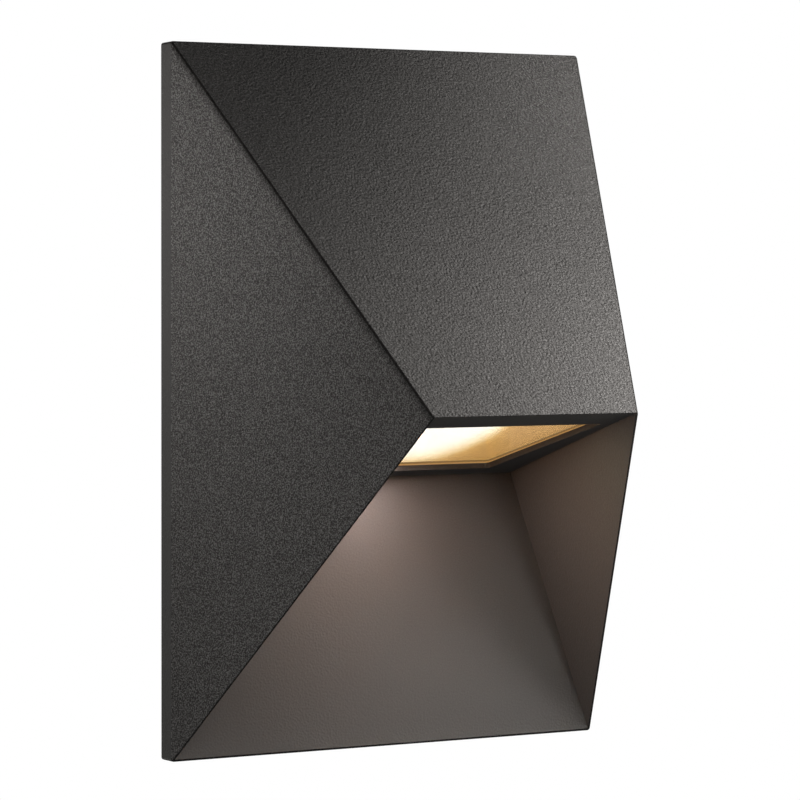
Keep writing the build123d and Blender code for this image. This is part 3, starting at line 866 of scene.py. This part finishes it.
package, package_inputs, given = node_tree(
    "led_package_grid",
    "Packages",
    (
        ("Rows", "Int"),
        ("Pitch", "Float"),
        ("Package", "Vector"),
        ("Cup Radius", "Float"),
        ("Foot", "Vector"),
        ("Place", "Vector"),
        ("Tilt", "Vector"),
        ("Frame Finish", "Material"),
        ("Cup Finish", "Material"),
        ("Foot Finish", "Material"),
    ),
)
size = node(package, "ShaderNodeSeparateXYZ", links={0: given["Package"]}).outputs
half_drop, bored, filled = (
    node(package, "ShaderNodeMath", {1: part}, {0: size[2]}, operation="MULTIPLY").outputs[0]
    for part in (-0.5, bore_drop, fill_drop)
)
block = node(
    package,
    "GeometryNodeTransform",
    links={
        "Geometry": node(
            package, "GeometryNodeMeshCube", links={"Size": given["Package"]}
        ).outputs["Mesh"],
        "Translation": node(package, "ShaderNodeCombineXYZ", links={2: half_drop}).outputs[0],
    },
)
mouth_radius = node(
    package, "ShaderNodeMath", {1: cup_flare}, {0: given["Cup Radius"]}, operation="MULTIPLY"
).outputs[0]
bore = node(
    package,
    "GeometryNodeTransform",
    links={
        "Geometry": node(
            package,
            "GeometryNodeMeshCone",
            {"Vertices": cup_sides},
            {"Radius Top": given["Cup Radius"], "Radius Bottom": mouth_radius, "Depth": size[2]},
        ).outputs["Mesh"],
        "Translation": node(package, "ShaderNodeCombineXYZ", links={2: bored}).outputs[0],
    },
)
cupped = node(
    package,
    "GeometryNodeMeshBoolean",
    links={"Mesh 1": block.outputs[0], "Mesh 2": bore.outputs[0]},
    operation="DIFFERENCE",
    solver="EXACT",
)
fill = node(
    package,
    "GeometryNodeTransform",
    links={
        "Geometry": node(
            package,
            "GeometryNodeMeshCylinder",
            {"Vertices": cup_sides},
            {"Radius": given["Cup Radius"], "Depth": size[2]},
        ).outputs["Mesh"],
        "Translation": node(package, "ShaderNodeCombineXYZ", links={2: filled}).outputs[0],
    },
)
feet = node(package, "GeometryNodeJoinGeometry")
for end in (-0.5, 0.5):
    aside = node(package, "ShaderNodeMath", {1: end}, {0: size[0]}, operation="MULTIPLY")
    foot = node(
        package,
        "GeometryNodeTransform",
        links={
            "Geometry": node(
                package, "GeometryNodeMeshCube", links={"Size": given["Foot"]}
            ).outputs["Mesh"],
            "Translation": node(
                package, "ShaderNodeCombineXYZ", links={0: aside.outputs[0]}
            ).outputs[0],
        },
    )
    package.links.new(foot.outputs[0], feet.inputs[0])
one_led = node(package, "GeometryNodeJoinGeometry")
for made, finish in ((cupped, "Frame Finish"), (fill, "Cup Finish"), (feet, "Foot Finish")):
    finished = node(
        package,
        "GeometryNodeSetMaterial",
        links={"Geometry": made.outputs[0], "Material": given[finish]},
    )
    package.links.new(finished.outputs[0], one_led.inputs[0])
spread = node(
    package,
    "ShaderNodeMath",
    links={
        0: given["Pitch"],
        1: node(
            package, "ShaderNodeMath", {1: 1.0}, {0: given["Rows"]}, operation="SUBTRACT"
        ).outputs[0],
    },
    operation="MULTIPLY",
).outputs[0]
spots = node(
    package,
    "GeometryNodeMeshGrid",
    links={
        "Size X": spread,
        "Size Y": spread,
        "Vertices X": given["Rows"],
        "Vertices Y": given["Rows"],
    },
)
placed = node(
    package,
    "GeometryNodeInstanceOnPoints",
    links={"Points": spots.outputs["Mesh"], "Instance": one_led.outputs[0]},
)
real = node(package, "GeometryNodeRealizeInstances", links={"Geometry": placed.outputs[0]})
hung = node(
    package,
    "GeometryNodeTransform",
    links={
        "Geometry": real.outputs[0],
        "Translation": given["Place"],
        "Rotation": node(
            package, "FunctionNodeEulerToRotation", links={0: given["Tilt"]}
        ).outputs[0],
    },
)
node(package, "NodeGroupOutput", links={0: hung.outputs[0]})

leds = grow(
    "led_packages",
    bpy.data.meshes.new("led_packages"),
    package,
    package_inputs,
    {
        "Rows": 3,
        "Pitch": row_pitch,
        "Package": (0.0035, 0.0028, 0.0007),
        "Cup Radius": 0.00105,
        "Foot": (0.0005, 0.0022, 0.0003),
        "Place": list(ceiling @ Vector((0, 0, board_face))),
        "Tilt": list(ceiling.to_euler()),
        "Frame Finish": frame_plastic,
        "Cup Finish": phosphor,
        "Foot Finish": solder,
    },
)
leds.visible_diffuse = False
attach(leds, "lamp")
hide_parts("led_chips")

# Thermal pad: 0.5 mm grey filled silicone sheet between the board and the carrier. Its ceramic
# filler shows as a fine pale speckle on a dry, matt face.
filler = 0.0006
pad, _, shader, place = surface("filled_silicone_sheet", roughness=0.85, specular_ior_level=0.3)
mottle(shader, place, filler, ("#7d8288", "#a6aab0"))
dress(pad, "thermal_pad")

# LED carrier: 2 mm aluminium sheet folded to a hat, mill finish, screwed down on the casting by its
# feet so that the heat runs out. Fine rolling lines run along its length.
line = 0.0005
run = 0.02
mill, tree, shader, place = surface("mill_finish_aluminium", metallic=1.0)
stretched = node(
    tree,
    "ShaderNodeMapping",
    {"Rotation": (ceiling_tilt, 0, 0), "Scale": (1 / line, 1 / run, 1 / line)},
    {"Vector": place},
)
mottle(shader, stretched.outputs[0], 1.0, ("#a9acae", "#c9cbcb"), (0.3, 0.48))
dress(mill, "led_carrier")

# Screws of the light engine: four stainless M3 screws through the carrier's feet into the casting,
# and two that hold the board up against the carrier, with their heads in the chamber.
small_screw = (0.0028, 0.002, 0.0015)
foot_top = 0.0103
pan_screws(
    "stack_pan_screws",
    ceiling @ Matrix.Translation((0, 0, foot_top)),
    [(-0.043, -0.008), (-0.043, 0.027), (0.043, -0.008), (0.043, 0.027)],
    (*small_screw, 0.009),
    stainless,
    "lamp",
    "stack_screws",
)
pan_screws(
    "board_pan_screws",
    ceiling @ Matrix.Translation((0, 0, board_face)) @ Matrix.Rotation(pi, 4, "X"),
    [(-0.025, 0), (0.025, 0)],
    (*small_screw, 0.0041),
    stainless,
    "lamp",
    "board_screws",
)

# Driver: the LED supply in a closed case of white flame retardant plastic with a lid, spark eroded
# to a dull texture. Two stainless screws hold its ears to bosses inside the sloping top face.
gear_tilt = radians(-128.963)
gear_seat = Matrix.Translation((0, -0.002723, 0.107542)) @ Matrix.Rotation(gear_tilt, 4, "X")
erosion = 0.00035
ear_top = 0.003
case, tree, shader, place = surface("spark_eroded_white_plastic", roughness=0.5)
eroded, _ = mottle(shader, place, erosion, ("#d7d6d0", "#e8e7e2"), detail=1.0)
texture = node(tree, "ShaderNodeBump", {"Strength": 0.3, "Distance": 0.00005}, {"Height": eroded})
feed(shader, normal=texture.outputs[0])
dress(case, "driver_case", "driver_lid")
pan_screws(
    "driver_pan_screws",
    gear_seat @ Matrix.Translation((0, 0, ear_top)),
    [(-0.0355, 0.087405), (0.0355, 0.087405)],
    (*small_screw, 0.0072),
    stainless,
    "lamp",
    "driver_screws",
)

# Terminal block: three poles moulded in natural nylon, a turret with a slotted clamp screw over
# each wire entry. The nylon is slightly translucent and has a soft, waxy gloss.
moisture = 0.003
ledge = 0.011
nylon, _, shader, place = surface(
    "natural_nylon",
    roughness=0.38,
    subsurface_weight=0.25,
    subsurface_radius=(0.0025, 0.002, 0.0014),
)
mottle(shader, place, moisture, ("#cfcab9", "#e4e0d2"))
dress(nylon, "terminal_block")
dress(stainless, "terminal_screws")
pan_screws(
    "terminal_pan_screws",
    gear_seat @ Matrix.Translation((0, 0, ledge)),
    [(-0.005, 0.047405), (0.005, 0.047405)],
    (0.002, 0.002, 0.0015, 0.0152),
    stainless,
    "lamp",
    "terminal_fixing_screws",
)

# Earth point of the casting: a ring tag stamped from tinned copper, crimped on the earth lead and
# clamped to a boss by a brass screw. The tin has gone a little dull and warm.
tin = 0.001
tag_top = 0.0008
copper, _, shader, place = surface("tinned_copper", metallic=1.0)
mottle(shader, place, tin, ("#b3a293", "#cfccc5"), (0.25, 0.45), detail=3.0)
dress(copper, "earth_tag")
pan_screws(
    "casting_earth_pan_screw",
    gear_seat @ Matrix.Translation((0, 0, tag_top)),
    [(0.036, 0.041405)],
    (*large_screw, 0.005),
    brass,
    "lamp",
    "earth_screw",
)

# Inner leads: stranded copper in extruded PVC, 2 mm thick, brown and blue from the driver to the
# terminals, green with a yellow stripe to earth, red and black from the driver down to the board.
scuff = 0.0015
lead_radius = 0.001
stripe_share = 0.4


def pvc(name, low, high):
    """Extruded PVC that is slightly marked from drawing it through its holes."""
    material, _, shader, place = surface(name, roughness=0.4)
    mottle(shader, place, scuff, (low, high))
    return material


def lead(name, material, route):
    """One lead on a smooth line through its route, in mm of the gear seat or the ceiling."""
    wire = bpy.data.curves.new(name, "CURVE")
    wire.dimensions = "3D"
    wire.bevel_depth = lead_radius
    wire.bevel_resolution = 4
    wire.use_fill_caps = True
    spline = wire.splines.new("NURBS")
    spline.points.add(len(route) - 1)
    places = [plane @ (Vector(place) / 1000) for plane, place in route]
    for point, place in zip(spline.points, places):
        point.co = (*place, 1.0)
    spline.order_u = 3
    spline.use_endpoint_u = True
    spline.resolution_u = 12
    wire.materials.append(material)
    made = bpy.data.objects.new(name + "_cord", wire)
    scene.collection.objects.link(made)
    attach(made, "lamp")
    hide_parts(name)


striped, tree, shader, _ = surface("striped_green_yellow_pvc", roughness=0.4)
around_lead = node(
    tree, "ShaderNodeSeparateXYZ", links={0: node(tree, "ShaderNodeTexCoord").outputs["UV"]}
)
stripe = node(
    tree, "ShaderNodeMath", {1: stripe_share}, {0: around_lead.outputs[1]}, operation="LESS_THAN"
)
green_yellow = node(
    tree,
    "ShaderNodeMix",
    {6: linear("#1f7a3a"), 7: linear("#e2c92a")},
    {0: stripe.outputs[0]},
    data_type="RGBA",
)
feed(shader, base_color=green_yellow.outputs[2])

lead(
    "live_lead",
    pvc("brown_pvc", "#4f2f1e", "#6b4128"),
    [
        (gear_seat, place)
        for place in (
            (-28, 85.405, 9.25),
            (-46, 85.405, 9.25),
            (-46, 63.4, 5),
            (-19, 63.4, 5),
            (-10, 63.4, 5),
            (-10, 55.9, 5),
            (-10, 50.405, 5),
        )
    ],
)
lead(
    "neutral_lead",
    pvc("blue_pvc", "#1b4f8f", "#2a68b3"),
    [
        (gear_seat, place)
        for place in (
            (-28, 79.405, 9.25),
            (-42, 79.405, 9.25),
            (-42, 66.9, 5),
            (-8.5, 66.9, 5),
            (0, 66.9, 5),
            (0, 57.4, 5),
            (0, 50.405, 5),
        )
    ],
)
lead(
    "earth_lead",
    striped,
    [
        (gear_seat, place)
        for place in (
            (10, 50.405, 5),
            (10, 55.9, 5),
            (10, 63.4, 5),
            (19, 63.2, 4.3),
            (27.5, 62.6, 3.3),
            (36, 62, 2.5),
            (36, 53.9, 2.5),
            (36, 46.405, 2.5),
        )
    ],
)
lead(
    "led_lead_positive",
    pvc("red_pvc", "#a3211d", "#c23a33"),
    [
        (gear_seat, (28, 89.405, 9.25)),
        (gear_seat, (46, 89.405, 9.25)),
        (ceiling, (46, 25, 47.4)),
        (ceiling, (6, 26.6, 44.2)),
        (ceiling, (-3.5, 27, 43.4)),
        (ceiling, (-3.5, 27, 31)),
        (ceiling, (-3.5, 27, 21.4)),
    ],
)
lead(
    "led_lead_negative",
    pvc("black_pvc", "#1b1b1c", "#2c2c2e"),
    [
        (gear_seat, (28, 95.405, 9.25)),
        (gear_seat, (42, 95.405, 9.25)),
        (ceiling, (42, 25, 39.4)),
        (ceiling, (13, 26.5, 36.2)),
        (ceiling, (3.5, 27, 35.4)),
        (ceiling, (3.5, 27, 28)),
        (ceiling, (3.5, 27, 21.4)),
    ],
)


# Light of the lamp: what the LEDs send through the pane on the recess, from three soft discs just
# under the glass, warmer where the chamber is golden. They go with the lamp, unseen by a camera.
def area_light(name, place, aim, size, power, code, spread=180.0, parent=None):
    """A round soft light at place that shines towards aim, its beam as wide as its spread."""
    lamp = bpy.data.lights.new(name, "AREA")
    lamp.shape = "DISK"
    lamp.size = size
    lamp.energy = power
    lamp.color = linear(code)[:3]
    lamp.spread = radians(spread)
    made = bpy.data.objects.new(name, lamp)
    made.location = place
    made.rotation_euler = (Vector(aim) - Vector(place)).to_track_quat("-Z", "Y").to_euler()
    made.visible_camera = False
    made.visible_transmission = parent is None
    made.parent = parent
    scene.collection.objects.link(made)


under_pane = 0.0015
for name, across, along, lean, size, power, code in (
    ("pane_rear", -0.011, 0.0245, 0.0, 0.014, 0.078, "#ffe8e2"),
    ("pane_left", -0.02, 0.0, 0.35, 0.02, 0.096, "#ffb984"),
    ("pane_front", 0.0, -0.02, 0.0, 0.03, 0.034, "#f4f5d4"),
):
    area_light(
        name,
        ceiling @ Vector((across, along, under_pane)),
        ceiling @ Vector((across + lean, along, under_pane - 1)),
        size,
        power,
        code,
        parent=frame["bodies"]["lamp"],
    )

# Studio light: gridded softboxes of plain white. Three on the right fade across the top face, four
# on the left fade down the side face, and two in front fill the recess.
for name, place, aim, size, power, spread in (
    ("right_softbox", (0.251, -0.309, 0.255), (0.3, -0.266, 0.158), 0.08, 6.1, 150),
    ("right_kicker", (0.1, -0.2, 0.03), (0.035, -0.09, 0.01), 0.06, 0.5, 180),
    ("right_top_kicker", (0.16, -0.17, 0.22), (0.07, -0.015, 0.1), 0.05, 0.014, 34),
    ("left_top_kicker", (-0.22, 0.0, 0.09), (-0.065, -0.025, 0.06), 0.08, 0.058, 90),
    ("left_kicker", (-0.2, -0.121, 0.046), (-0.147, 0.097, 0.149), 0.08, 0.058, 150),
    ("left_softbox", (-0.45, -0.16, 0.0), (-0.06, -0.03, 0.03), 0.2, 0.55, 180),
    ("left_low_softbox", (-0.4, -0.25, -0.08), (-0.06, -0.03, -0.08), 0.15, 0.26, 180),
    ("front_softbox", (-0.058, -0.45, 0.108), (-0.168, -0.3, -0.3), 0.1, 0.55, 133.8),
    ("front_fill", (0.05, -0.6, 0.0), (0.034, -0.0076, -0.105), 0.1, 0.026, 16),
):
    area_light(name, place, aim, size, power, "#fffdfb", spread)

# Floor: a sheet of pale paper far below the light, so that it shows from above only. It glows for
# the rays of the eye, which keeps it pale, and takes the light's shadow as plain paper does.
floor_half = 2.0
floor_level = -1.8
floor_glow = 0.72
fibre = 0.004
corners = ((-1, -1), (1, -1), (1, 1), (-1, 1))
floor = bpy.data.meshes.new("floor")
floor.from_pydata(
    [(x * floor_half, y * floor_half, floor_level) for x, y in corners], [], [(0, 1, 2, 3)]
)


def eye_rays(tree):
    """1 for the rays of the camera, of gloss and through glass, which see the pale background."""
    ray = node(tree, "ShaderNodeLightPath").outputs
    seen = ray["Is Camera Ray"]
    for kind in ("Is Glossy Ray", "Is Transmission Ray"):
        either = node(tree, "ShaderNodeMath", links={0: seen, 1: ray[kind]}, operation="MAXIMUM")
        seen = either.outputs[0]
    return seen


paper, tree, shader, place = surface("pale_paper", roughness=0.9, specular_ior_level=0.1)
_, tone = mottle(shader, place, fibre, ("#e9e9e8", "#f1f1f0"))
paleness = node(tree, "ShaderNodeMath", {1: floor_glow}, {0: eye_rays(tree)}, operation="MULTIPLY")
feed(shader, emission_color=tone, emission_strength=paleness.outputs[0])
floor.materials.append(paper)
ground = bpy.data.objects.new("floor", floor)
scene.collection.objects.link(ground)

# Surround: white for the rays of the eye, and nearly dark for the rest, so that the softboxes draw
# the light's faces. Only straight behind the light it is bright, like a lit backdrop.
room_glow = 0.03
rear_glow = 3.5
rear_edge = 0.88
rear_full = 0.97
surround = bpy.data.worlds.new("surround")
surround.use_nodes = True
tree = surround.node_tree
heading = node(
    tree, "ShaderNodeSeparateXYZ", links={0: node(tree, "ShaderNodeTexCoord").outputs["Generated"]}
)
behind = node(
    tree,
    "ShaderNodeMapRange",
    {"From Min": rear_edge, "From Max": rear_full, "To Min": room_glow, "To Max": rear_glow},
    {"Value": heading.outputs[1]},
)
strength = node(
    tree,
    "ShaderNodeMapRange",
    {"To Max": 1.0},
    {"Value": eye_rays(tree), "To Min": behind.outputs[0]},
)
background = tree.nodes["Background"]
background.inputs["Color"].default_value = (1.0, 1.0, 1.0, 1.0)
tree.links.new(strength.outputs[0], background.inputs["Strength"])
scene.world = surround

# Camera: a long lens 1.1 m away, at about the height of the ridge and 29 degrees round to the left.
# Its place, turn and lens were fitted to the corners of the light in the photograph.
eye = (-0.534659, -0.968514, 0.020243)
yaw, pitch, roll = -29.342, -1.095, -0.557
view = bpy.data.cameras.new("camera")
view.lens = 155.51
view.sensor_width = 36.0
camera = bpy.data.objects.new("camera", view)
camera.matrix_world = (
    Matrix.Translation(eye)
    @ Matrix.Rotation(radians(yaw), 4, "Z")
    @ Matrix.Rotation(radians(90 + pitch), 4, "X")
    @ Matrix.Rotation(radians(roll), 4, "Z")
)
scene.collection.objects.link(camera)
scene.camera = camera
